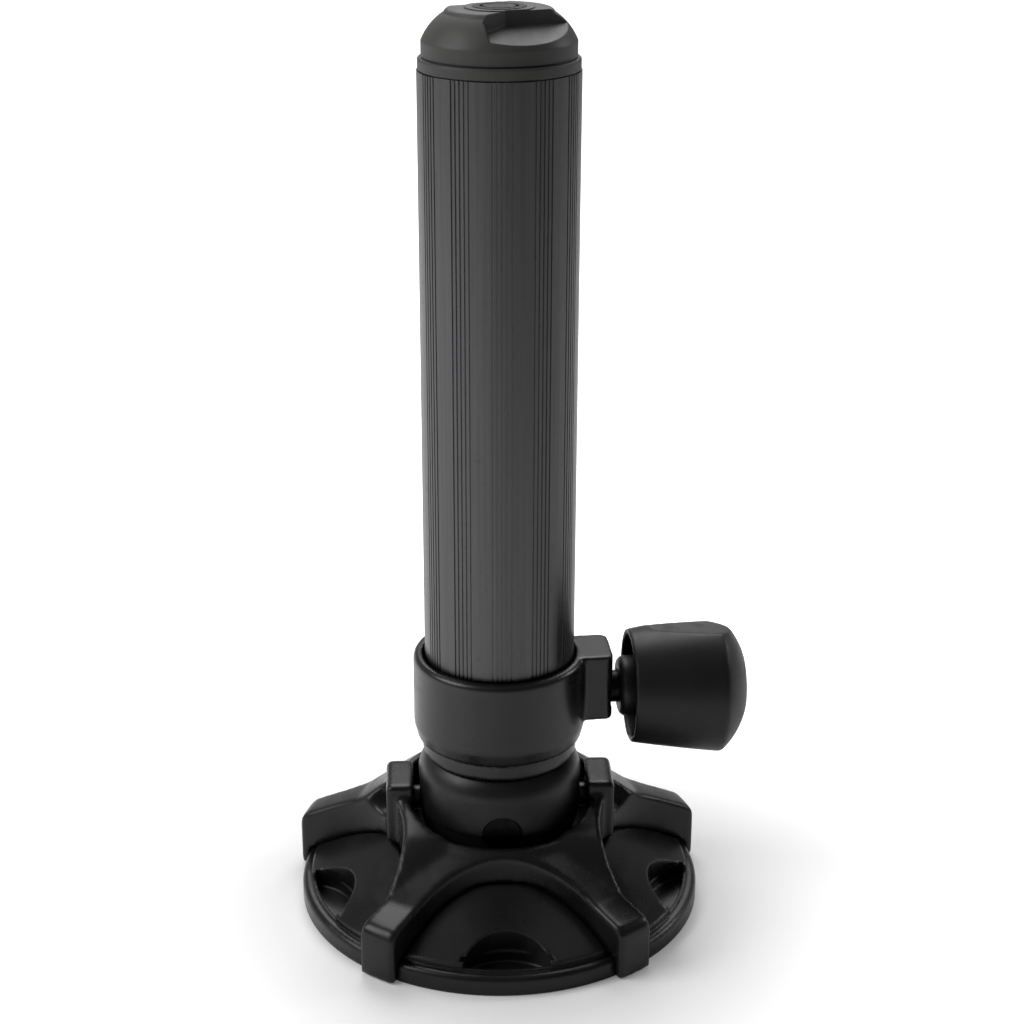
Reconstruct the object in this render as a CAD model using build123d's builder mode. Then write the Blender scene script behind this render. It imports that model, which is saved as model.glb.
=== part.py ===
from build123d import *
import math
import os

# Telescopic seat box leg with a tilting mud foot. A grooved tube slides over an inner tube that ends in a
# two-way knuckle, and a hand knob clamps it at any length.
# Origin at the middle of the sole, +Z up, millimetres. The front is towards -Y.

os.makedirs("parts", exist_ok=True)

# Clearances
over = 2.0               # cuts run this far past the faces they break through
running_gap = 0.05       # radial, where one piece turns or slides in another
press_gap = 0.02         # radial, where a piece is pushed home and stays
seat_gap = 0.1           # between moulded slopes that nest
knuckle_gap = 0.5        # between the knuckle's ball end and its dish

# Outer tube
tube_radius = 18.0
tube_wall = 2.0
tube_foot = 46.0         # lower end, seated in the collar
tube_seat_radius = 17.75 # the end in the collar is turned down to the grooves' floor
tube_top = 203.5
groove_groups = 12
grooves_in_group = 5
groove_pitch = 3.4       # degrees
groove_width = 0.4
groove_depth = 0.25

# Inner tube
inner_radius = 15.0
inner_wall = 1.5
inner_top = 188.0

# Knuckle
pivot_height = 25.0      # both tilt axes cross here
knuckle_radius = 20.0
ball_step = 0.3          # the ball end is this much smaller than the barrel above it
ball_step_height = 24.5
knuckle_bottom = 8.0
knuckle_shoulder = 33.0  # where the barrel starts to round in
knuckle_neck = 17.6
knuckle_top = 38.4
spigot_top = 58.0
spigot_edge = 1.0
spigot_hollow = 10.5
spigot_hollow_floor = 44.0
cavity_length = 23.0     # room for the cross block, along X
cheek_gap = 0.3          # cross block to each cheek
cavity_top = 34.5
tilt_slot_half = 5.6     # rise of a pivot pin at the knuckle's wall when the leg leans over

# Cross block and its pins
block_length = 17.0
block_width = 17.6
block_height = 13.0
block_edge = 1.5
pin_radius = 3.0
head_radius = 4.5
head_ring_gap = 0.25     # dark ring round the pin's head
head_depth = 2.0
head_recess = 0.2
pin_tail_recess = 0.8
pin_core_gap = 0.9       # from the long pin to the tips of the pivot pins
tube_pin_radius = 2.0
tube_pin_height = 50.0

# Foot frame
foot_radius = 51.8
arm_count = 5
opening_radius = 23.5
window_offset = foot_radius + 1.0        # the windows are round cut-outs on this circle
window_reach = 26.4      # from the leg's axis to the windows' inner edges
window_radius = window_offset - window_reach
hub_seat = 15.4          # level where the frame sits on the plate
hub_outer = 27.0
rear_rim = 29.3
rear_knee_radius = 36.0
rear_knee = 21.0
shoulder_inset = 1.9     # where the arms' tips start to round over, in from the rim
shoulder = 14.4
shoulder_drop = 3.0
front_rim = 24.0
front_web_radius = 26.7
front_web = 22.6
front_knee_radius = 42.0
front_knee = 15.3
front_tip_drop = 0.9     # the front arms end this much lower
rim_flat = 1.2           # level width of the hub's rim
tip_round = 3.4
rim_gap = 0.15           # round the plate's edge
nest_gap = 0.2           # over the plate's slope
flare_top = 29.0         # the rim sweeps up to each boss along these points, forward of the boss and height
flare = ((30.0, 16.5), (26.0, 20.0), (20.0, 24.4), (14.0, 26.3))
boss_inner = 21.2
boss_outer = 28.0
boss_half_width = 7.3
boss_top = 31.7
boss_edge = 1.2
pin_end_recess = 0.6
bore_exit = 36.0

# Base plate
plate_radius = foot_radius - 2.4
rim_height = 4.6
rim_edge = 1.4
pad_edge_radius = plate_radius - 2.4     # the raised pads stop here, above the rim
pad_raise = 0.6
cone_foot = 5.6          # height of the plate's slope at the pads' outer edge
pad_inset = 0.6
notch_offset = plate_radius - 0.4
notch_radius = 10.8
notch_floor = 5.0
scoop_offset = plate_radius + 2.5
scoop_radius = 13.3
scoop_floor = 2.2
scoop_rim = pad_edge_radius - 0.8
rib_count = 10
rib_width = 2.6
core_inner = 14.0        # shallow ribbed field under the plate
core_outer = 34.0
tread_inset = 5.8
tread_radius = plate_radius - tread_inset
tread_width = 1.8
tread_depth = 1.6

# Screws that hold the frame to the plate
screw_inset = 11.8
screw_circle = foot_radius - screw_inset
screw_radius = 1.75
screw_head_radius = 3.2
screw_head_height = 2.4
screw_head_sink = 1.2
screw_tip = 13.5
screw_hole_gap = 0.25
screw_tip_gap = 0.3

# Clamp collar
collar_radius = 20.8
collar_grip = 19.0       # length of tube held in the collar
collar_top = tube_foot + collar_grip
collar_rim_edge = 1.5
collar_mouth_gap = 0.5
collar_mouth_depth = 3.0
collar_shoulder = tube_foot + 1.0
collar_taper_radius = 19.9
collar_taper_foot = tube_foot - 2.5
lip_radius = 18.7
lip_groove = 0.5
lip_reach = 7.0          # the collar's lip hangs this far below the tube
lip_bottom = tube_foot - lip_reach
guide_radius = 16.6
guide_floor = tube_foot - 5.0

# Lug, clamp screw and knob, measured outwards from the leg's axis
knob_rise = 8.0
knob_height = tube_foot + knob_rise
knob_angle = 3.0         # degrees round from +X, towards the back
lug_width = 13.6
lug_bottom = knob_height - 5.7
lug_reach = 27.0
lug_corner = 2.2
lug_root = 19.5
lug_blend = 2.2          # where the lug meets the collar
lip_clear = 0.15         # round the inner tube, at the lip
clamp_screw_radius = 3.9
screw_point = 0.6
insert_radius = 5.5
insert_start = 20.8
insert_sink = 0.3
pad_radius = 4.9
pad_end = 18.2
pad_bore_gap = 0.1
hub_start = 29.0
hub_radius = 7.4
hub_edge = 1.0
screw_end = 52.0
skirt_start = 31.6
skirt_radius = 13.8
skirt_wall = 1.2
skirt_floor = 42.0
knob_waist = 45.0
knob_waist_radius = 15.9
knob_widest = 53.4
knob_radius = 17.0
knob_shoulder = 56.8
knob_shoulder_radius = 13.4
knob_end = 59.6
knob_face_radius = 8.0
facet_count = 3
facet_angle = -15.0      # the facet that faces the front, measured up from level
facet_start = 36.8       # where each facet runs out on the skirt
facet_slope = 1.0        # degrees
facet_start_radius = 14.6

# Top cap
cap_ring_radius = 17.8
cap_ring_top = 206.2
cap_ring_edge = 0.3
cap_groove = 0.3
cap_wall_radius = 17.0
cap_wall_top = 209.7
cap_slope_top = (12.0, 215.6)       # radius and height where the sloping band ends
cap_slope_bulge = 0.6
cap_face_radius = 10.6
cap_face = 216.75
cap_disc_radius = 7.6    # the middle of the face stands a little higher
cap_disc_step = 0.25
cap_round = 0.3          # bulge of the rounded edge between the band and the face
cap_spigot_bottom = 190.0
cap_spigot_wall = 2.3
cap_lead = 1.0           # sloped lead-in at the spigot's end
cap_hollow_top = 206.0
badge_radius = 5.8
badge_depth = 0.95       # the badge is let in this deep
badge_proud = 0.15       # and stands this far out of the face
badge_seat = cap_face - badge_depth
badge_top = cap_face + badge_proud
badge_ring_radius = 3.6
badge_ring_width = 0.7
badge_ring_depth = 0.4
grip_count = 2
grip_turn = 20.6         # the first grip's wall faces this far round from the front, towards the knob
grip_wall = 6.75         # from the axis to the upright wall of each finger grip
grip_floor = 213.5       # height of the floor along that wall
grip_slope = 15.8        # degrees, falling outwards
grip_bend = 1.4          # past the middle line the wall turns outwards
grip_end = 8.0           # and ends this far along
grip_flare = 3.4         # and this much further out

# Slide bush
bush_bottom = 170.0
bush_roof = 1.2

# Worked out from the sizes above
tube_bore = tube_radius - tube_wall
inner_bore = inner_radius - inner_wall
spigot_radius = inner_bore - press_gap
ball_radius = knuckle_radius - ball_step
arm_step = 360 / arm_count
front = -90.0            # the front is towards -Y
shoulder_radius = foot_radius - shoulder_inset
arm_half_width = window_offset * math.sin(math.radians(arm_step / 2)) - window_radius
arm_tangent = window_offset * math.cos(math.radians(arm_step / 2))


# Upright plane through the leg's axis: x runs outwards at that angle, y runs up
def upright(angle):
    a = math.radians(angle)
    return Plane(origin=(0, 0, 0), x_dir=(math.cos(a), math.sin(a), 0), z_dir=(math.sin(a), -math.cos(a), 0))


# Plane facing outwards at that angle, distance and height: its z runs outwards, its y runs up
def outward(angle, distance, height):
    a = math.radians(angle)
    return Plane(
        origin=(distance * math.cos(a), distance * math.sin(a), height),
        x_dir=(-math.sin(a), math.cos(a), 0),
        z_dir=(math.cos(a), math.sin(a), 0),
    )


def save(piece, name):
    piece.part.label = name
    export_step(piece.part, f"parts/{name}.step")


# The gap between two arms, drawn smaller by the inset: a circle, then sides along the arms
def window_sketch(inset):
    half = math.radians(arm_step / 2)
    side = arm_half_width + inset
    corners = [
        (reach * math.cos(half) + side * math.sin(half), reach * math.sin(half) - side * math.cos(half))
        for reach in (arm_tangent, foot_radius + 6 * over)
    ]
    mirrored = [(x, -y) for x, y in reversed(corners)]
    with BuildSketch() as outline:
        with Locations((window_offset, 0)):
            Circle(window_radius - inset)
        Polygon(*corners, *mirrored, align=None)
    return outline.sketch


# Base plate: a coned disc with a dish for the knuckle, ribs and pockets below
dish_radius = ball_radius + knuckle_gap
dish_bottom = pivot_height - dish_radius
dish_edge = math.sqrt(dish_radius**2 - (pivot_height - hub_seat) ** 2)
dish_middle = math.radians(-65)          # any point on the dish's arc

with BuildPart() as raised_pads:
    with BuildSketch(Plane.XZ):
        Polygon(
            (hub_outer - over, hub_seat - over),
            (hub_outer - over, hub_seat + pad_raise),
            (hub_outer + pad_inset, hub_seat + pad_raise),
            (pad_edge_radius, cone_foot + pad_raise),
            (pad_edge_radius, rim_height - over),
            (pad_edge_radius - over, rim_height - over),
            align=None,
        )
    revolve(axis=Axis.Z)
    with BuildSketch():
        with PolarLocations(0, arm_count, start_angle=front):
            add(window_sketch(pad_inset))
    extrude(amount=hub_seat + over, mode=Mode.INTERSECT)

with BuildPart() as base_plate:
    with BuildSketch(Plane.XZ):
        with BuildLine():
            Polyline(
                (0, dish_bottom),
                (0, 0),
                (plate_radius, 0),
                (plate_radius, rim_height),
                (pad_edge_radius, rim_height),
                (pad_edge_radius, cone_foot),
                (hub_outer, hub_seat),
                (dish_edge, hub_seat),
            )
            ThreePointArc(
                (dish_edge, hub_seat),
                (dish_radius * math.cos(dish_middle), pivot_height + dish_radius * math.sin(dish_middle)),
                (0, dish_bottom),
            )
        make_face()
    revolve(axis=Axis.Z)
    outer_rim = base_plate.edges().filter_by(GeomType.CIRCLE).sort_by(SortBy.RADIUS)[-2:].sort_by(Axis.Z)[-1]
    fillet(outer_rim, rim_edge)
    add(raised_pads.part)
    with BuildSketch(Plane.XY.offset(notch_floor)):
        with PolarLocations(notch_offset, arm_count, start_angle=front):
            Circle(notch_radius)
    extrude(amount=hub_seat, mode=Mode.SUBTRACT)
    with BuildSketch(Plane.XY.offset(scoop_floor)):
        with PolarLocations(scoop_offset, arm_count, start_angle=front):
            Circle(scoop_radius)
        Circle(scoop_rim, mode=Mode.INTERSECT)
    extrude(amount=notch_floor, mode=Mode.SUBTRACT)
    with BuildSketch():
        Circle(tread_radius + tread_width / 2)
        Circle(tread_radius - tread_width / 2, mode=Mode.SUBTRACT)
        Circle(core_outer)
        Circle(core_inner, mode=Mode.SUBTRACT)
        with PolarLocations(core_outer / 2, rib_count, start_angle=front):
            Rectangle(core_outer + over, rib_width, mode=Mode.SUBTRACT)
    extrude(amount=tread_depth, mode=Mode.SUBTRACT)
    with PolarLocations(screw_circle, arm_count, start_angle=front + arm_step / 2):
        Cylinder(screw_radius + screw_hole_gap, 2 * (hub_seat + over), mode=Mode.SUBTRACT)
        Cylinder(
            screw_head_radius + screw_hole_gap,
            screw_head_sink + screw_head_height,
            align=(Align.CENTER, Align.CENTER, Align.MIN),
            mode=Mode.SUBTRACT,
        )
save(base_plate, "base_plate")

# Foot frame: five arms from a hub ring, lower in front, with a boss each side for the pivot pins
# The arms are made twice, high and low, and the flare is where the high ones end
def five_arms(rim_line, lowering):
    with BuildPart() as arms:
        with BuildSketch(upright(front + arm_step / 2)):
            with BuildLine():
                Polyline(
                    (foot_radius, shoulder - lowering - shoulder_drop),
                    (foot_radius, 0),
                    (plate_radius + rim_gap, 0),
                    (plate_radius + rim_gap, rim_height + seat_gap),
                    (pad_edge_radius + nest_gap, rim_height + seat_gap),
                    (pad_edge_radius + nest_gap, cone_foot),
                    (hub_outer + nest_gap, hub_seat),
                    (opening_radius, hub_seat),
                    *rim_line,
                    (shoulder_radius, shoulder - lowering),
                )
                RadiusArc((shoulder_radius, shoulder - lowering),
                          (foot_radius, shoulder - lowering - shoulder_drop), tip_round)
            make_face()
        revolve(axis=Axis.Z)
        with BuildSketch():
            with PolarLocations(0, arm_count, start_angle=front):
                add(window_sketch(0))
        extrude(amount=rear_rim + over, mode=Mode.SUBTRACT)
    return arms.part


rear_arms = five_arms(
    [(opening_radius, rear_rim), (opening_radius + rim_flat, rear_rim), (rear_knee_radius, rear_knee)], 0)
front_arms = five_arms(
    [(opening_radius, front_rim), (opening_radius + rim_flat, front_rim), (front_web_radius, front_web),
     (front_knee_radius, front_knee)], front_tip_drop)

with BuildPart() as foot_frame:
    with BuildSketch(Plane.YZ):
        with BuildLine():
            Spline(*[(-y, z) for y, z in flare], (-boss_half_width, flare_top))
            Polyline(
                (-boss_half_width, flare_top),
                (-boss_half_width, rear_rim + over),
                (foot_radius + over, rear_rim + over),
                (foot_radius + over, -over),
                (-flare[0][0], -over),
                (-flare[0][0], flare[0][1]),
            )
        make_face()
    extrude(amount=foot_radius + over, both=True)
    add(rear_arms, mode=Mode.INTERSECT)
    add(front_arms)
    boss_foot = hub_seat + pad_raise + seat_gap
    with BuildSketch(Plane.XY.offset(boss_foot)):
        with GridLocations(boss_inner + boss_outer, 0, 2, 1):
            Rectangle(boss_outer - boss_inner, 2 * boss_half_width)
    extrude(amount=boss_top - boss_foot)
    boss_tops = foot_frame.faces().filter_by(Axis.Z).group_by(Axis.Z)[-1]
    fillet(boss_tops.edges().group_by(lambda e: round(abs(e.center().X), 2))[-1], boss_edge)
    with Locations(Plane.YZ.offset(boss_inner - over)):
        with Locations((0, pivot_height)):
            Cylinder(head_radius + press_gap, bore_exit - boss_inner + over,
                     align=(Align.CENTER, Align.CENTER, Align.MIN), mode=Mode.SUBTRACT)
    with Locations(Plane.YZ.offset(-bore_exit)):
        with Locations((0, pivot_height)):
            Cylinder(head_radius + press_gap, bore_exit - boss_inner + over,
                     align=(Align.CENTER, Align.CENTER, Align.MIN), mode=Mode.SUBTRACT)
    with PolarLocations(screw_circle, arm_count, start_angle=front + arm_step / 2):
        Cylinder(screw_radius + running_gap, screw_tip + screw_tip_gap,
                 align=(Align.CENTER, Align.CENTER, Align.MIN), mode=Mode.SUBTRACT)
save(foot_frame, "foot_frame")

# Screws from below, one into each arm
with BuildPart() as frame_screws:
    with BuildSketch(Plane.XY.offset(screw_head_sink)):
        with PolarLocations(screw_circle, arm_count, start_angle=front + arm_step / 2):
            Circle(screw_head_radius)
    extrude(amount=screw_head_height)
    with BuildSketch(Plane.XY.offset(screw_head_sink)):
        with PolarLocations(screw_circle, arm_count, start_angle=front + arm_step / 2):
            Circle(screw_radius)
    extrude(amount=screw_tip - screw_head_sink)
    with BuildSketch(Plane.XY.offset(screw_head_sink)):
        with PolarLocations(screw_circle, arm_count, start_angle=front + arm_step / 2):
            RegularPolygon(screw_radius, 6)
    extrude(amount=screw_head_height / 2, mode=Mode.SUBTRACT)
save(frame_screws, "frame_screws")

# Pivot pins: each is pressed into a boss and its shank turns in the cross block
for side, name in ((0, "pivot_pin_right"), (180, "pivot_pin_left")):
    with BuildPart() as pivot_pin:
        with BuildSketch(outward(side, pin_radius + pin_core_gap, pivot_height)):
            Circle(pin_radius)
        extrude(amount=boss_outer - pin_end_recess - pin_radius - pin_core_gap)
        with BuildSketch(outward(side, boss_inner + running_gap, pivot_height)):
            Circle(head_radius)
        extrude(amount=boss_outer - pin_end_recess - boss_inner - running_gap)
    save(pivot_pin, name)

# Cross block: turns on the pivot pins, and the knuckle turns on it
with BuildPart() as cross_block:
    with Locations((0, 0, pivot_height)):
        Box(block_length, block_width, block_height)
    fillet(cross_block.edges().filter_by(Axis.Y), block_edge)
    with Locations(Plane.XZ.offset(-block_width)):
        with Locations((0, pivot_height)):
            Cylinder(pin_radius + running_gap, 2 * block_width, align=(Align.CENTER, Align.CENTER, Align.MIN),
                     mode=Mode.SUBTRACT)
    for side in (0, 180):
        with BuildSketch(outward(side, pin_radius + pin_core_gap - 2 * running_gap, pivot_height)):
            Circle(pin_radius + running_gap)
        extrude(amount=block_length, mode=Mode.SUBTRACT)
save(cross_block, "cross_block")

# Knuckle: ball end below, barrel above, and a spigot inside the inner tube
with BuildPart() as knuckle_cup:
    ball_foot = math.sqrt(ball_radius**2 - (pivot_height - knuckle_bottom) ** 2)
    step_drop = pivot_height - ball_step_height
    ball_edge = math.sqrt(ball_radius**2 - step_drop**2)
    ball_middle = math.radians(-30)      # any point on the ball's arc
    with BuildSketch(Plane.XZ):
        with BuildLine():
            Polyline((0, spigot_top), (0, knuckle_bottom), (ball_foot, knuckle_bottom))
            ThreePointArc(
                (ball_foot, knuckle_bottom),
                (ball_radius * math.cos(ball_middle), pivot_height + ball_radius * math.sin(ball_middle)),
                (ball_edge, ball_step_height),
            )
            Polyline((ball_edge, ball_step_height), (knuckle_radius, ball_step_height),
                     (knuckle_radius, knuckle_shoulder))
            TangentArc((knuckle_radius, knuckle_shoulder), (knuckle_neck, knuckle_top), tangent=(0, 1))
            Polyline(
                (knuckle_neck, knuckle_top),
                (spigot_radius, knuckle_top),
                (spigot_radius, spigot_top - spigot_edge),
                (spigot_radius - spigot_edge, spigot_top),
                (0, spigot_top),
            )
        make_face()
    revolve(axis=Axis.Z)
    with BuildSketch(Plane.XY.offset(spigot_hollow_floor)):
        Circle(spigot_hollow)
    extrude(amount=spigot_top, mode=Mode.SUBTRACT)
    with BuildSketch():
        Rectangle(cavity_length, block_width + 2 * cheek_gap)
    extrude(amount=cavity_top, mode=Mode.SUBTRACT)
    with BuildSketch(Plane.YZ):
        with Locations((0, pivot_height)):
            SlotCenterToCenter(2 * tilt_slot_half, 2 * (pin_radius + cheek_gap), rotation=90)
    extrude(amount=2 * knuckle_radius, both=True, mode=Mode.SUBTRACT)
    with BuildSketch(Plane.XZ):
        with Locations((0, pivot_height)):
            Circle(pin_radius + press_gap)
    extrude(amount=2 * knuckle_radius, both=True, mode=Mode.SUBTRACT)
    for side in (90, -90):
        with BuildSketch(outward(side, ball_radius - head_depth, pivot_height)):
            Circle(head_radius + head_ring_gap)
        extrude(amount=knuckle_radius, mode=Mode.SUBTRACT)
    with BuildSketch(Plane.XZ):
        with Locations((0, tube_pin_height)):
            Circle(tube_pin_radius + press_gap)
    extrude(amount=2 * knuckle_radius, both=True, mode=Mode.SUBTRACT)
save(knuckle_cup, "knuckle_cup")

# Cross pin, headed in front, with a push-on cap at the back
pin_seat = ball_radius - head_depth
pin_tail = ball_radius - pin_tail_recess
head_face = ball_radius - head_recess
with BuildPart() as cross_pin:
    with BuildSketch(outward(front, -pin_tail, pivot_height)):
        Circle(pin_radius)
    extrude(amount=pin_tail + pin_seat)
    with BuildSketch(outward(front, pin_seat, pivot_height)):
        Circle(head_radius)
    extrude(amount=head_face - pin_seat)
save(cross_pin, "cross_pin")

with BuildPart() as cross_pin_cap:
    with BuildSketch(outward(-front, pin_seat, pivot_height)):
        Circle(head_radius)
        Circle(pin_radius + press_gap, mode=Mode.SUBTRACT)
    extrude(amount=head_face - pin_seat)
save(cross_pin_cap, "cross_pin_cap")

# Inner tube, on the knuckle's spigot, held by a cross pin
with BuildPart() as inner_tube:
    with BuildSketch(Plane.XY.offset(knuckle_top)):
        Circle(inner_radius)
        Circle(inner_bore, mode=Mode.SUBTRACT)
    extrude(amount=inner_top - knuckle_top)
    with BuildSketch(Plane.XZ):
        with Locations((0, tube_pin_height)):
            Circle(tube_pin_radius + press_gap)
    extrude(amount=2 * inner_radius, both=True, mode=Mode.SUBTRACT)
save(inner_tube, "inner_tube")

with BuildPart() as tube_pin:
    with BuildSketch(Plane.XZ):
        with Locations((0, tube_pin_height)):
            Circle(tube_pin_radius)
    extrude(amount=inner_bore, both=True)
save(tube_pin, "tube_pin")

# Slide bush over the top of the inner tube
with BuildPart() as slide_bush:
    with BuildSketch(Plane.XZ):
        Polygon(
            (inner_radius + press_gap, bush_bottom),
            (tube_bore - running_gap, bush_bottom),
            (tube_bore - running_gap, inner_top + bush_roof),
            (inner_bore, inner_top + bush_roof),
            (inner_bore, inner_top),
            (inner_radius + press_gap, inner_top),
            align=None,
        )
    revolve(axis=Axis.Z)
save(slide_bush, "slide_bush")

# Guide ring in the collar's lip, under the end of the outer tube
with BuildPart() as guide_ring:
    with BuildSketch(Plane.XY.offset(guide_floor)):
        Circle(guide_radius - running_gap)
        Circle(inner_radius + running_gap, mode=Mode.SUBTRACT)
    extrude(amount=tube_foot - guide_floor - running_gap)
save(guide_ring, "guide_ring")

# Outer tube with its groups of fine grooves
with BuildPart() as outer_tube:
    with BuildSketch(Plane.XY.offset(tube_foot)):
        Circle(tube_radius)
        Circle(tube_bore, mode=Mode.SUBTRACT)
        for group in range(groove_groups):
            middle = front + group * 360 / groove_groups
            first = middle - groove_pitch * (grooves_in_group - 1) / 2
            with PolarLocations(
                tube_radius,
                grooves_in_group,
                start_angle=first,
                angular_range=groove_pitch * (grooves_in_group - 1),
                endpoint=True,
            ):
                Rectangle(2 * groove_depth, groove_width, mode=Mode.SUBTRACT)
    extrude(amount=tube_top - tube_foot)
    with BuildSketch(Plane.XY.offset(tube_foot)):
        Circle(tube_radius + over)
        Circle(tube_seat_radius, mode=Mode.SUBTRACT)
    extrude(amount=collar_top - tube_foot, mode=Mode.SUBTRACT)
    with BuildSketch(outward(knob_angle, 0, knob_height)):
        Circle(pad_radius + pad_bore_gap)
    extrude(amount=2 * tube_radius, mode=Mode.SUBTRACT)
save(outer_tube, "outer_tube")

# Clamp collar, with the lug that carries the clamp screw
with BuildPart() as clamp_collar:
    with BuildSketch(Plane.XZ):
        with BuildLine():
            Polyline(
                (collar_radius, collar_top - collar_rim_edge),
                (collar_radius, collar_shoulder),
                (collar_taper_radius, collar_taper_foot),
                (lip_radius - lip_groove, collar_taper_foot),
                (lip_radius - lip_groove, collar_taper_foot - lip_groove),
                (lip_radius, collar_taper_foot - 2 * lip_groove),
                (lip_radius, lip_bottom + lip_groove),
                (lip_radius - lip_groove, lip_bottom),
                (inner_radius + lip_clear, lip_bottom),
                (inner_radius + lip_clear, guide_floor),
                (guide_radius, guide_floor),
                (guide_radius, tube_foot),
                (tube_seat_radius + press_gap, tube_foot),
                (tube_seat_radius + press_gap, collar_top - collar_mouth_depth),
                (tube_radius + collar_mouth_gap, collar_top - collar_mouth_depth + collar_mouth_gap),
                (tube_radius + collar_mouth_gap, collar_top),
                (collar_radius - collar_rim_edge, collar_top),
            )
            RadiusArc((collar_radius - collar_rim_edge, collar_top),
                      (collar_radius, collar_top - collar_rim_edge), collar_rim_edge)
        make_face()
    revolve(axis=Axis.Z)
    with BuildSketch(Plane.XY.offset(lug_bottom).rotated((0, 0, knob_angle))) as lug_outline:
        with Locations(((lug_root + lug_reach) / 2, 0)):
            Rectangle(lug_reach - lug_root, lug_width)
        outer_corners = lug_outline.vertices().filter_by(
            lambda v: math.hypot(v.X, v.Y) > collar_radius + lug_corner)
        fillet(outer_corners, lug_corner)
    extrude(amount=collar_top - lug_bottom)
    with BuildSketch(Plane.XY.offset(lug_bottom).rotated((0, 0, knob_angle))) as lug_web:
        Circle(collar_radius)
        with Locations(((lug_reach - lug_corner) / 2, 0)):
            Rectangle(lug_reach - lug_corner, lug_width)
        web_corners = lug_web.vertices().filter_by(
            lambda v: abs(math.hypot(v.X, v.Y) - collar_radius) < seat_gap)
        fillet(web_corners, lug_blend)
        Circle((tube_radius + collar_radius) / 2, mode=Mode.SUBTRACT)
    extrude(amount=collar_top - collar_rim_edge - lug_bottom)
    with BuildSketch(outward(knob_angle, tube_bore, knob_height)):
        Circle(pad_radius + pad_bore_gap)
    extrude(amount=insert_start - tube_bore, mode=Mode.SUBTRACT)
    with BuildSketch(outward(knob_angle, insert_start, knob_height)):
        Circle(insert_radius + press_gap)
    extrude(amount=lug_reach, mode=Mode.SUBTRACT)
save(clamp_collar, "clamp_collar")

# Threaded insert, pad, screw and knob, all on the knob's axis
with BuildPart() as screw_insert:
    with BuildSketch(outward(knob_angle, insert_start, knob_height)):
        Circle(insert_radius)
        Circle(clamp_screw_radius + running_gap, mode=Mode.SUBTRACT)
    extrude(amount=lug_reach - insert_sink - insert_start)
save(screw_insert, "screw_insert")

with BuildPart() as clamp_pad:
    with BuildSketch(outward(knob_angle, 0, knob_height)):
        Circle(pad_radius)
    extrude(amount=pad_end)
    with BuildSketch():
        Circle(inner_radius + running_gap)
    extrude(amount=tube_top, mode=Mode.SUBTRACT)
save(clamp_pad, "clamp_pad")

with BuildPart() as clamp_screw:
    with BuildSketch(outward(knob_angle, pad_end, knob_height)):
        Circle(clamp_screw_radius)
    extrude(amount=screw_end - pad_end)
    chamfer(clamp_screw.edges().group_by(
        lambda e: round(math.hypot(e.center().X, e.center().Y), 1))[0], screw_point)
save(clamp_screw, "clamp_screw")

with BuildPart() as clamp_knob:
    across = upright(knob_angle)
    knob_origin = (0, 0, knob_height)
    along = (math.cos(math.radians(knob_angle)), math.sin(math.radians(knob_angle)), 0)
    with BuildSketch(Plane(origin=knob_origin, x_dir=along, z_dir=across.z_dir)):
        with BuildLine():
            Polyline(
                (knob_end, knob_face_radius),
                (knob_end, 0),
                (screw_end, 0),
                (screw_end, clamp_screw_radius + press_gap),
                (hub_start, clamp_screw_radius + press_gap),
                (hub_start, hub_radius - hub_edge),
                (hub_start + hub_edge, hub_radius),
                (skirt_floor, hub_radius),
                (skirt_floor, skirt_radius - skirt_wall),
                (skirt_start, skirt_radius - skirt_wall),
                (skirt_start, skirt_radius),
            )
            ThreePointArc((skirt_start, skirt_radius), (knob_waist, knob_waist_radius),
                          (knob_widest, knob_radius))
            ThreePointArc((knob_widest, knob_radius), (knob_shoulder, knob_shoulder_radius),
                          (knob_end, knob_face_radius))
        make_face()
    revolve(axis=Axis(knob_origin, along))
    facet_fall = (knob_end + over - facet_start) * math.tan(math.radians(facet_slope))
    for k in range(facet_count):
        turn = 90 - facet_angle - k * 360 / facet_count
        lean = Plane(origin=knob_origin, x_dir=along, z_dir=across.z_dir).rotated((turn, 0, 0))
        with BuildSketch(lean):
            Polygon(
                (facet_start, facet_start_radius),
                (knob_end + over, facet_start_radius - facet_fall),
                (knob_end + over, 2 * knob_radius),
                (facet_start, 2 * knob_radius),
                align=None,
            )
        extrude(amount=2 * knob_radius, both=True, mode=Mode.SUBTRACT)
save(clamp_knob, "clamp_knob")

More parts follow.
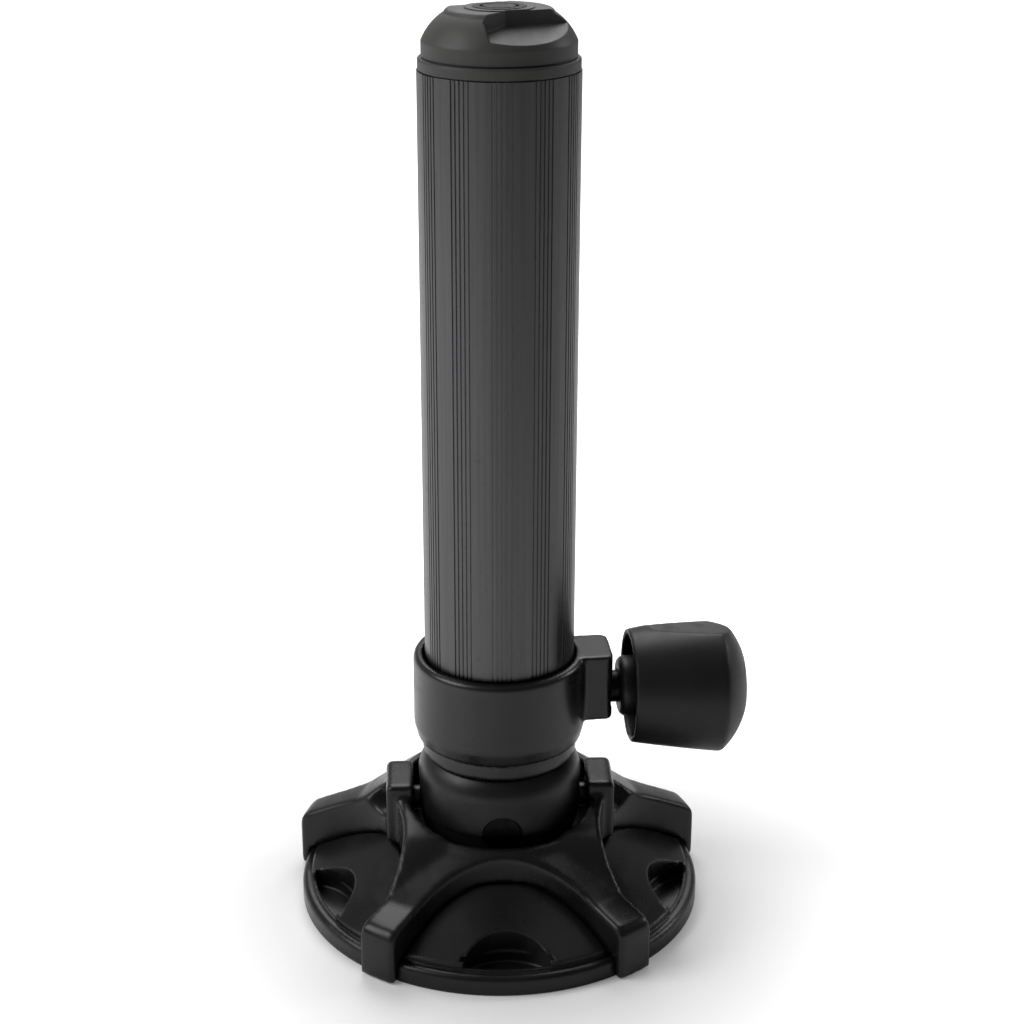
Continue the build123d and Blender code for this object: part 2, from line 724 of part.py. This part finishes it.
# Top cap: a spigot in the tube, a flush ring, and a dome with finger grips round a plain badge
with BuildPart() as top_cap:
    with BuildSketch(Plane.XZ):
        with BuildLine():
            Polyline(
                (cap_wall_radius, cap_wall_top),
                (cap_wall_radius, cap_ring_top + cap_groove),
                (cap_wall_radius - cap_groove, cap_ring_top + cap_groove),
                (cap_wall_radius - cap_groove, cap_ring_top),
                (cap_ring_radius - cap_ring_edge, cap_ring_top),
                (cap_ring_radius, cap_ring_top - cap_ring_edge),
                (cap_ring_radius, tube_top + cap_ring_edge),
                (cap_ring_radius - cap_ring_edge, tube_top),
                (tube_bore - press_gap, tube_top),
                (tube_bore - press_gap, cap_spigot_bottom + cap_lead),
                (tube_bore - press_gap - cap_lead / 2, cap_spigot_bottom),
                (tube_bore - cap_spigot_wall, cap_spigot_bottom),
                (tube_bore - cap_spigot_wall, cap_hollow_top),
                (0, cap_hollow_top),
                (0, badge_seat),
                (badge_radius + press_gap, badge_seat),
                (badge_radius + press_gap, cap_face),
                (cap_disc_radius, cap_face),
                (cap_disc_radius, cap_face - cap_disc_step),
                (cap_face_radius, cap_face - cap_disc_step),
            )
            SagittaArc((cap_face_radius, cap_face - cap_disc_step), cap_slope_top, cap_round)
            SagittaArc(cap_slope_top, (cap_wall_radius, cap_wall_top), cap_slope_bulge)
        make_face()
    revolve(axis=Axis.Z)
    for k in range(grip_count):
        turn = math.radians(grip_turn + k * 360 / grip_count)
        slope = math.radians(grip_slope)
        outwards = Vector(math.sin(turn), -math.cos(turn), 0)
        floor = Plane(
            origin=outwards * grip_wall + Vector(0, 0, grip_floor),
            x_dir=(math.cos(turn), math.sin(turn), 0),
            z_dir=outwards * math.sin(slope) + Vector(0, 0, math.cos(slope)),
        )
        with BuildSketch(floor):
            Polygon(
                (cap_ring_radius, 0),
                (-grip_bend, 0),
                (-grip_end, -grip_flare),
                (-grip_end, -cap_ring_radius),
                (cap_ring_radius, -cap_ring_radius),
                align=None,
            )
        extrude(amount=2 * (cap_face - grip_floor), dir=(0, 0, 1), mode=Mode.SUBTRACT)
save(top_cap, "top_cap")

with BuildPart() as cap_badge:
    with BuildSketch(Plane.XY.offset(badge_seat)):
        Circle(badge_radius)
    extrude(amount=badge_top - badge_seat)
    with BuildSketch(Plane.XY.offset(badge_top - badge_ring_depth)):
        Circle(badge_ring_radius + badge_ring_width)
        Circle(badge_ring_radius, mode=Mode.SUBTRACT)
    extrude(amount=badge_top, mode=Mode.SUBTRACT)
save(cap_badge, "cap_badge")
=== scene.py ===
import bpy
import math
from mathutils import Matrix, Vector


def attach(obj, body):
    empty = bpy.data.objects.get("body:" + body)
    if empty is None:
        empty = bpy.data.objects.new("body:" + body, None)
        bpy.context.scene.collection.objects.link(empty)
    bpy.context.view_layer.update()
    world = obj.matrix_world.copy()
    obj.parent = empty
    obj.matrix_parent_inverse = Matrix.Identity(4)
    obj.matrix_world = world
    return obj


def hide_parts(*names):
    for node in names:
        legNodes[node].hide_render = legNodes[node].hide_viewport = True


# seat box leg: looks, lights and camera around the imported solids, in metres
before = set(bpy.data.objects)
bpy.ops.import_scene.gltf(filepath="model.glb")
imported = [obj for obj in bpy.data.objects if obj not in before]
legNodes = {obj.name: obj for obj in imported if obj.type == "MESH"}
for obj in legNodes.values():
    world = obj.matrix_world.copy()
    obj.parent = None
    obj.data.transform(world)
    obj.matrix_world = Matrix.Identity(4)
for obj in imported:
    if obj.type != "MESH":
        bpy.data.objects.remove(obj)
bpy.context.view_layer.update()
print("leg loaded:", len(legNodes), "pieces")


# node helpers, shared by the finishes, the floor and the air
def newFinish(name):
    finish = bpy.data.materials.new(name)
    finish.use_nodes = True
    tree = finish.node_tree
    tree.nodes.clear()
    out = tree.nodes.new("ShaderNodeOutputMaterial")
    shader = tree.nodes.new("ShaderNodeBsdfPrincipled")
    tree.links.new(shader.outputs["BSDF"], out.inputs["Surface"])
    return finish, tree, shader


def makeNode(tree, kind, **values):
    node = tree.nodes.new(kind)
    for key, value in values.items():
        if key in node.inputs:
            node.inputs[key].default_value = value
        else:
            setattr(node, key, value)
    return node


def stretchedNoise(tree, scale, stretch=(1, 1, 1), detail=4.0, rough=0.55, seed=0.0):
    # noise in the leg's own metres, pulled out along an axis by a small stretch number
    where = makeNode(tree, "ShaderNodeTexCoord")
    pull = makeNode(tree, "ShaderNodeMapping")
    pull.inputs["Scale"].default_value = stretch
    pull.inputs["Location"].default_value = (seed, seed * 0.37, seed * 0.61)
    noise = makeNode(tree, "ShaderNodeTexNoise", Scale=scale, Detail=detail, Roughness=rough)
    tree.links.new(where.outputs["Object"], pull.inputs["Vector"])
    tree.links.new(pull.outputs["Vector"], noise.inputs["Vector"])
    return noise.outputs["Fac"]


def remap(tree, source, low, high, toLow, toHigh):
    node = makeNode(tree, "ShaderNodeMapRange")
    node.inputs["From Min"].default_value = low
    node.inputs["From Max"].default_value = high
    node.inputs["To Min"].default_value = toLow
    node.inputs["To Max"].default_value = toHigh
    tree.links.new(source, node.inputs["Value"])
    return node.outputs["Result"]


def combine(tree, operation, first, second):
    node = makeNode(tree, "ShaderNodeMath", operation=operation)
    for socket, value in zip(node.inputs, (first, second)):
        if isinstance(value, (int, float)):
            socket.default_value = value
        else:
            tree.links.new(value, socket)
    return node.outputs["Value"]


def mixColour(tree, amount, first, second):
    node = makeNode(tree, "ShaderNodeMix", data_type="RGBA")
    tree.links.new(amount, node.inputs["Factor"])
    sockets = [s for s in node.inputs if s.type == "RGBA"]
    for socket, value in zip(sockets, (first, second)):
        if isinstance(value, (tuple, list)):
            socket.default_value = (*value[:3], 1)
        else:
            tree.links.new(value, socket)
    return [s for s in node.outputs if s.type == "RGBA"][0]


def softEdge(tree, radius):
    # rounded normal for the edges, and how far it leans from the flat one
    bevel = makeNode(tree, "ShaderNodeBevel", samples=6)
    bevel.inputs["Radius"].default_value = radius
    flat = makeNode(tree, "ShaderNodeNewGeometry")
    lean = makeNode(tree, "ShaderNodeVectorMath", operation="DOT_PRODUCT")
    tree.links.new(bevel.outputs["Normal"], lean.inputs[0])
    tree.links.new(flat.outputs["Normal"], lean.inputs[1])
    return bevel.outputs["Normal"], lean.outputs["Value"]


def bump(tree, height, distance, strength, normal=None):
    node = makeNode(tree, "ShaderNodeBump")
    node.inputs["Distance"].default_value = distance
    node.inputs["Strength"].default_value = strength
    tree.links.new(height, node.inputs["Height"])
    if normal is not None:
        tree.links.new(normal, node.inputs["Normal"])
    return node.outputs["Normal"]


# parts of a noise's range that the finishes stretch to their full effect
wideBand = (0.3, 0.7)
narrowBand = (0.35, 0.65)


# moulded plastic of the foot, knuckle, collar, knob, cap and bearings: fine grain, cloudy gloss, pale edges that
# are partly wear and partly a painted highlight
def mouldedPlastic(name, look):
    finish, tree, shader = newFinish(name)
    normal, lean = softEdge(tree, look["edgeRadius"])
    cloud = stretchedNoise(tree, look["cloudScale"], seed=look["seed"])
    grain = stretchedNoise(tree, look["grainScale"], detail=2.0, seed=look["seed"] + 1)
    scuff = stretchedNoise(tree, look["scuffScale"], look["scuffStretch"], detail=5.0, seed=look["seed"] + 2)
    # pale edge colour: partly wear, partly a painted highlight along the edges
    edgeWearAndSheen = remap(tree, lean, look["leanFrom"], look["leanTo"], 0.0, 1.0)
    patchyWearAndSheen = combine(tree, "MULTIPLY", edgeWearAndSheen, remap(tree, cloud, *narrowBand, look["wearAndSheenLeast"], 1.0))
    base = mixColour(tree, remap(tree, cloud, *wideBand, 0.0, 1.0), look["colour"], look["colourWorn"])
    tinted = mixColour(tree, combine(tree, "MULTIPLY", patchyWearAndSheen, look["edgeWearAndSheen"]), base, look["edgeWearAndSheenColour"])
    tree.links.new(tinted, shader.inputs["Base Color"])
    rubbed = remap(tree, scuff, *look["scuffBand"], 0.0, look["scuffRough"])
    rough = combine(tree, "ADD", remap(tree, cloud, *wideBand, *look["rough"]), rubbed)
    tree.links.new(combine(tree, "SUBTRACT", rough, combine(tree, "MULTIPLY", patchyWearAndSheen, look["edgePolish"])),
                   shader.inputs["Roughness"])
    shader.inputs["Specular IOR Level"].default_value = look["shine"]
    tree.links.new(bump(tree, grain, look["grainDepth"], look["grainStrength"], normal), shader.inputs["Normal"])
    return finish


footLook = {
    "colour": (0.004, 0.004, 0.005), "colourWorn": (0.007, 0.007, 0.008), "edgeWearAndSheenColour": (0.040, 0.040, 0.042),
    "rough": (0.24, 0.34), "shine": 0.36, "edgeRadius": 0.0010, "edgeWearAndSheen": 0.4,
    "leanFrom": 0.995, "leanTo": 0.86, "wearAndSheenLeast": 0.25, "edgePolish": 0.06, "grainStrength": 0.6,
    "cloudScale": 60.0, "grainScale": 2200.0, "grainDepth": 0.00002, "scuffScale": 260.0,
    "scuffStretch": (1.0, 0.25, 1.0), "scuffBand": (0.5, 0.75), "scuffRough": 0.10, "seed": 1.0,
}
collarLook = dict(footLook, colour=(0.007, 0.007, 0.008), shine=0.45, edgeRadius=0.0007, seed=5.0)
knuckleLook = dict(footLook, colour=(0.009, 0.009, 0.010), rough=(0.34, 0.42), edgeRadius=0.0005, seed=9.0)
knobLook = dict(footLook, colour=(0.006, 0.006, 0.007), colourWorn=(0.010, 0.010, 0.011), rough=(0.38, 0.46),
                edgeRadius=0.0006, seed=13.0)
capLook = dict(footLook, colour=(0.046, 0.046, 0.045), colourWorn=(0.062, 0.061, 0.059), rough=(0.44, 0.54),
               edgeRadius=0.0006, seed=17.0)
badgeLook = dict(footLook, colour=(0.025, 0.025, 0.027), rough=(0.18, 0.24), edgeRadius=0.0002, seed=21.0)
innerLook = dict(footLook, colour=(0.022, 0.022, 0.024), rough=(0.45, 0.55), edgeRadius=0.0003, seed=25.0)
footPlastic = mouldedPlastic("footPlastic", footLook)
collarPlastic = mouldedPlastic("collarPlastic", collarLook)
knucklePlastic = mouldedPlastic("knucklePlastic", knuckleLook)
knobPlastic = mouldedPlastic("knobPlastic", knobLook)
capPlastic = mouldedPlastic("capPlastic", capLook)
badgePlastic = mouldedPlastic("badgePlastic", badgeLook)
bearingPlastic = mouldedPlastic("bearingPlastic", innerLook)
print("moulded plastics made")


# the two tubes: drawn lengthwise, the grooved one anodised dark grey
def drawnAluminium(name, look):
    finish, tree, shader = newFinish(name)
    streaks = stretchedNoise(tree, look["streakScale"], (1, 1, look["streakPull"]), detail=6.0, seed=2.0)
    cloud = stretchedNoise(tree, look["cloudScale"], look["cloudPull"], seed=3.0)
    dust = stretchedNoise(tree, look["dustScale"], detail=2.0, seed=4.0)
    normal, lean = softEdge(tree, look["edgeRadius"])
    edgeWearAndSheen = remap(tree, lean, look["leanFrom"], look["leanTo"], 0.0, look["edgeWearAndSheen"])
    base = mixColour(tree, remap(tree, streaks, *narrowBand, 0.0, 1.0), look["colour"], look["colourStreak"])
    worn = mixColour(tree, edgeWearAndSheen, base, look["edgeWearAndSheenColour"])
    tree.links.new(worn, shader.inputs["Base Color"])
    rough = combine(tree, "ADD", remap(tree, streaks, *wideBand, *look["rough"]),
                    remap(tree, cloud, *narrowBand, *look["cloudRough"]))
    tree.links.new(combine(tree, "ADD", rough, remap(tree, dust, *look["dustBand"], 0.0, look["dustRough"])),
                   shader.inputs["Roughness"])
    shader.inputs["Metallic"].default_value = look["metal"]
    tree.links.new(bump(tree, streaks, look["streakDepth"], look["streakStrength"], normal),
                   shader.inputs["Normal"])
    return finish


tubeLook = {
    "colour": (0.078, 0.078, 0.080), "colourStreak": (0.096, 0.096, 0.099), "edgeWearAndSheenColour": (0.18, 0.18, 0.185),
    "metal": 0.95, "rough": (0.30, 0.40), "streakScale": 1400.0, "streakPull": 0.012, "streakDepth": 0.00001,
    "cloudScale": 30.0, "cloudPull": (1, 1, 0.5), "dustScale": 900.0, "dustBand": (0.62, 0.72),
    "edgeRadius": 0.00012, "edgeWearAndSheen": 0.35,
    "leanFrom": 0.99, "leanTo": 0.8, "cloudRough": (-0.02, 0.03), "dustRough": 0.12, "streakStrength": 0.5,
}
innerTubeLook = dict(tubeLook, colour=(0.42, 0.42, 0.43), colourStreak=(0.5, 0.5, 0.51),
                     edgeWearAndSheenColour=(0.65, 0.65, 0.66), metal=1.0)
groovedTube = drawnAluminium("groovedTube", tubeLook)
plainTube = drawnAluminium("plainTube", innerTubeLook)


# small steel pieces
def turnedSteel(name, look):
    finish, tree, shader = newFinish(name)
    lines = stretchedNoise(tree, look["lineScale"], look["linePull"], detail=5.0, seed=7.0)
    spots = stretchedNoise(tree, look["spotScale"], seed=8.0)
    normal = softEdge(tree, look["edgeRadius"])[0]
    base = mixColour(tree, remap(tree, spots, *look["spotBand"], 0.0, 1.0), look["colour"], look["colourDull"])
    tree.links.new(base, shader.inputs["Base Color"])
    tree.links.new(remap(tree, lines, *wideBand, *look["rough"]), shader.inputs["Roughness"])
    shader.inputs["Metallic"].default_value = 1.0
    tree.links.new(bump(tree, lines, look["lineDepth"], look["lineStrength"], normal), shader.inputs["Normal"])
    return finish


steelLook = {
    "colour": (0.42, 0.42, 0.41), "colourDull": (0.26, 0.26, 0.25), "rough": (0.28, 0.45),
    "lineScale": 1500.0, "linePull": (0.05, 1, 1), "spotScale": 350.0, "spotBand": (0.45, 0.7),
    "edgeRadius": 0.0002, "lineDepth": 0.00001, "lineStrength": 0.5,
}
blackSteelLook = dict(steelLook, colour=(0.012, 0.012, 0.013), colourDull=(0.008, 0.008, 0.008))
pinSteel = turnedSteel("pinSteel", steelLook)
blackSteel = turnedSteel("blackSteel", blackSteelLook)
print("metals made")

# finishes onto the solids
nodeFinish = {
    "base_plate": footPlastic, "foot_frame": footPlastic, "pivot_pin_left": footPlastic,
    "pivot_pin_right": footPlastic, "frame_screws": pinSteel, "cross_block": bearingPlastic,
    "knuckle_cup": knucklePlastic, "cross_pin": blackSteel, "cross_pin_cap": blackSteel,
    "inner_tube": plainTube, "tube_pin": pinSteel, "slide_bush": bearingPlastic, "guide_ring": bearingPlastic,
    "outer_tube": groovedTube, "clamp_collar": collarPlastic, "screw_insert": blackSteel,
    "clamp_pad": bearingPlastic, "clamp_screw": blackSteel, "clamp_knob": knobPlastic, "top_cap": capPlastic,
    "cap_badge": badgePlastic,
}
for nodeName, finish in nodeFinish.items():
    solid = legNodes[nodeName]
    if not solid.material_slots:
        solid.data.materials.append(finish)
    for slot in solid.material_slots:
        slot.link = "OBJECT"
        slot.material = finish
print("finishes set on", len(nodeFinish), "solids")

# moulded rounding: a finer copy of a solid, softened all over, stands for it
softenShare = 0.5  # how far each pass moves a point towards its neighbours
mouldedRounding = {
    "foot_frame": {"grid": 0.0005, "passes": 20, "body": "foot", "slot": "foot_plastic"},
    "clamp_collar": {"grid": 0.0004, "passes": 5, "body": "outer_leg", "slot": "collar_plastic"},
    "clamp_knob": {"grid": 0.0004, "passes": 12, "body": "knob", "slot": "knob_plastic"},
}
for nodeName, rounding in mouldedRounding.items():
    softened = bpy.data.objects.new("rounded_" + nodeName, legNodes[nodeName].data.copy())
    bpy.context.scene.collection.objects.link(softened)
    softened.data.materials.clear()
    softened.data.materials.append(nodeFinish[nodeName])
    grid = softened.modifiers.new("grid", "REMESH")
    grid.mode = "VOXEL"
    grid.voxel_size = rounding["grid"]
    grid.use_smooth_shade = True
    soften = softened.modifiers.new("soften", "SMOOTH")
    soften.factor = softenShare
    soften.iterations = rounding["passes"]
    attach(softened, rounding["body"])
    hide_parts(nodeName)
print("rounded", len(mouldedRounding), "moulded pieces")

# pale floor, soft surroundings and lamps
studio = {
    "floorSize": 6.0, "floorDrop": 0.0002, "floorColour": (0.88, 0.88, 0.88), "cloudScale": 3.0, "cloudLift": 1.02,
    "floorRough": 0.8, "floorShine": 0.2, "floorGlowNear": 0.12, "floorGlowFar": 1.0,
    "glowFrom": 0.056, "glowTo": 0.17,
    "glossLeft": 0.55, "glossRight": 0.12, "glossBand": (-0.8, 0.3),
    "worldFront": 0.12, "worldBack": 0.36, "worldLeft": 1.4, "worldRight": 0.6,
}
bpy.ops.mesh.primitive_plane_add(size=studio["floorSize"], location=(0, 0, -studio["floorDrop"]))
paleFloor = bpy.context.object
paleFloor.name = "paleFloor"
floorFinish, tree, shader = newFinish("paleFloor")
cloud = stretchedNoise(tree, studio["cloudScale"])
lifted = tuple(c * studio["cloudLift"] for c in studio["floorColour"])
tree.links.new(mixColour(tree, cloud, studio["floorColour"], lifted), shader.inputs["Base Color"])
shader.inputs["Roughness"].default_value = studio["floorRough"]
shader.inputs["Specular IOR Level"].default_value = studio["floorShine"]
# the floor glows white in a painted glow that grows with distance, for what the camera, gloss and glass see; near
# the leg the glow is weak, so the floor keeps the shadow
ray = makeNode(tree, "ShaderNodeLightPath")
where = makeNode(tree, "ShaderNodeTexCoord")
reach = makeNode(tree, "ShaderNodeVectorMath", operation="LENGTH")
tree.links.new(where.outputs["Object"], reach.inputs[0])
sides = makeNode(tree, "ShaderNodeSeparateXYZ")
tree.links.new(where.outputs["Object"], sides.inputs["Vector"])
# the painted glow that gloss sees on the floor is paler on the left, as beside a window
across = remap(tree, combine(tree, "DIVIDE", sides.outputs["X"], reach.outputs["Value"]), *studio["glossBand"],
               studio["glossLeft"], studio["glossRight"])
seen = combine(tree, "MAXIMUM", ray.outputs["Is Camera Ray"],
               combine(tree, "MAXIMUM", ray.outputs["Is Transmission Ray"],
                       combine(tree, "MULTIPLY", ray.outputs["Is Glossy Ray"], across)))
paintedGlow = remap(tree, reach.outputs["Value"], studio["glowFrom"], studio["glowTo"],
               studio["floorGlowNear"], studio["floorGlowFar"])
shader.inputs["Emission Color"].default_value = (1, 1, 1, 1)
tree.links.new(combine(tree, "MULTIPLY", seen, paintedGlow), shader.inputs["Emission Strength"])
paleFloor.data.materials.append(floorFinish)

world = bpy.data.worlds.new("studioAir")
bpy.context.scene.world = world
world.use_nodes = True
tree = world.node_tree
tree.nodes.clear()
out = tree.nodes.new("ShaderNodeOutputWorld")
air = makeNode(tree, "ShaderNodeBackground")
white = makeNode(tree, "ShaderNodeBackground")
white.inputs["Color"].default_value = (1, 1, 1, 1)
pick = makeNode(tree, "ShaderNodeMixShader")
ray = makeNode(tree, "ShaderNodeLightPath")
where = makeNode(tree, "ShaderNodeTexCoord")
parts = makeNode(tree, "ShaderNodeSeparateXYZ")
tree.links.new(where.outputs["Generated"], parts.inputs["Vector"])
sideways = remap(tree, parts.outputs["X"], -1, 1, studio["worldLeft"], studio["worldRight"])
lengthways = remap(tree, parts.outputs["Y"], -1, 1, studio["worldFront"], studio["worldBack"])
tree.links.new(combine(tree, "MULTIPLY", sideways, lengthways), air.inputs["Strength"])
tree.links.new(ray.outputs["Is Camera Ray"], pick.inputs["Fac"])
tree.links.new(air.outputs["Background"], pick.inputs[1])
tree.links.new(white.outputs["Background"], pick.inputs[2])
tree.links.new(pick.outputs["Shader"], out.inputs["Surface"])

lamps = {
    "leftSoftbox": {"at": (-0.75, -0.15, 0.7), "size": 0.6, "power": 5.0},
    "rightSoftbox": {"at": (0.9, 0.3, 0.5), "size": 0.3, "power": 1.5},
    "backSoftbox": {"at": (0.05, 0.65, 0.9), "size": 0.8, "power": 7.0},
}
lampAim = Vector((0, 0, 0.08))
for name, lamp in lamps.items():
    light = bpy.data.lights.new(name, "AREA")
    light.energy = lamp["power"]
    light.size = lamp["size"]
    holder = bpy.data.objects.new(name, light)
    holder.location = lamp["at"]
    aim = lampAim - Vector(lamp["at"])
    holder.rotation_euler = aim.to_track_quat("-Z", "Y").to_euler()
    bpy.context.scene.collection.objects.link(holder)
print("studio lit by", len(lamps), "lamps")

# camera at the photograph's place
cameraSetting = {
    "at": (-0.0171, -0.4461, 0.2757), "down": 22.0, "turn": -2.2, "lens": 71.75, "shift": (0.0122, 0.0205),
    "sensor": 36, "nearest": 0.01,
}
lens = bpy.data.cameras.new("photoCamera")
lens.sensor_width = cameraSetting["sensor"]
lens.lens = cameraSetting["lens"]
lens.shift_x, lens.shift_y = cameraSetting["shift"]
lens.clip_start = cameraSetting["nearest"]
photoCamera = bpy.data.objects.new("photoCamera", lens)
photoCamera.location = cameraSetting["at"]
photoCamera.rotation_euler = (math.radians(90 - cameraSetting["down"]), 0, math.radians(cameraSetting["turn"]))
bpy.context.scene.collection.objects.link(photoCamera)
bpy.context.scene.camera = photoCamera
bpy.context.scene.view_settings.view_transform = "Standard"
print("camera set")
